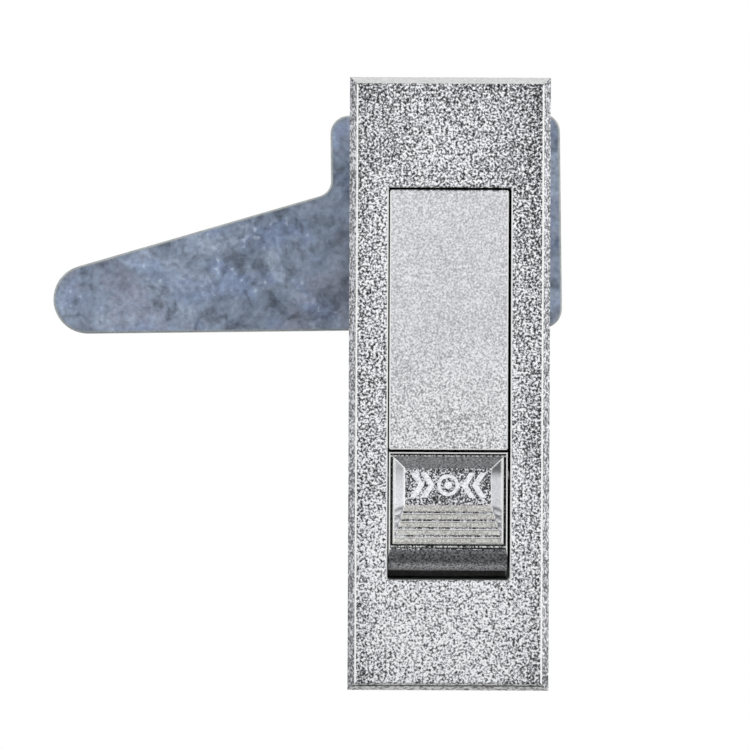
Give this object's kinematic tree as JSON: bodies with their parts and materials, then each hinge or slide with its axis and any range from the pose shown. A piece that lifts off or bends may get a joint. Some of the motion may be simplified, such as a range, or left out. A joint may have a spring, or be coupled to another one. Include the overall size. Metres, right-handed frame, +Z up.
{
  "type": "flush cabinet lock",
  "caption": "Flush cabinet lock: a bevelled plate with a sunk flap handle, a ribbed rocker button that releases it, and a cam tongue behind that holds a door shut.",
  "frame": {"origin": "centre of the door cut-out, on the door's outer surface where the gasket seats", "axes": "+X to the right seen from the front, +Y into the cabinet, +Z up along the plate; the face looks along -Y"},
  "size_m": [0.0771, 0.0323, 0.09],
  "materials": {
    "sand_chrome": "sand-textured chrome",
    "satin_chrome": "fine matte chrome",
    "button_chrome": "semi-bright chrome",
    "cam_zinc": "blue zinc plate",
    "zinc_steel": "bright zinc plate",
    "pin_steel": "ground",
    "spring_steel": "oiled",
    "bronze": "sintered",
    "rubber": "matte"
  },
  "bodies": {
    "housing": {"housing": "sand_chrome", "flange_gasket": "rubber", "clamp_brackets": "zinc_steel", "clamp_screws": "zinc_steel", "clamp_washers": "zinc_steel", "spindle_bush": "bronze", "handle_yoke": "zinc_steel", "handle_pin": "pin_steel", "handle_spring": "spring_steel", "button_pin": "pin_steel", "button_spring": "spring_steel"},
    "handle": {"handle": "satin_chrome"},
    "button": {"push_button": "button_chrome"},
    "spindle": {"spindle": "zinc_steel", "spindle_o_ring": "rubber", "friction_washer": "bronze", "stop_washer": "zinc_steel", "cam": "cam_zinc", "cam_washer": "zinc_steel", "cam_lock_washer": "spring_steel", "cam_nut": "zinc_steel"}
  },
  "joints": [
    {"name": "handle_lift", "type": "hinge", "parent": "housing", "child": "handle", "pos_m": [0, 0.001, 0.0245], "axis": [-1, 0, 0], "range_deg": [0, 40], "deforming": ["handle_spring"]},
    {"name": "button_press", "type": "hinge", "parent": "housing", "child": "button", "pos_m": [0, 0.003, -0.0135], "axis": [1, 0, 0], "range_deg": [0, 9], "stiffness_Nm_per_rad": 0.2, "springref_deg": -8.59, "deforming": ["button_spring"]},
    {"name": "spindle_turn", "type": "hinge", "parent": "housing", "child": "spindle", "pos_m": [0, 0.018, 0.0245], "axis": [0, 1, 0], "range_deg": [0, 90]}
  ]
}
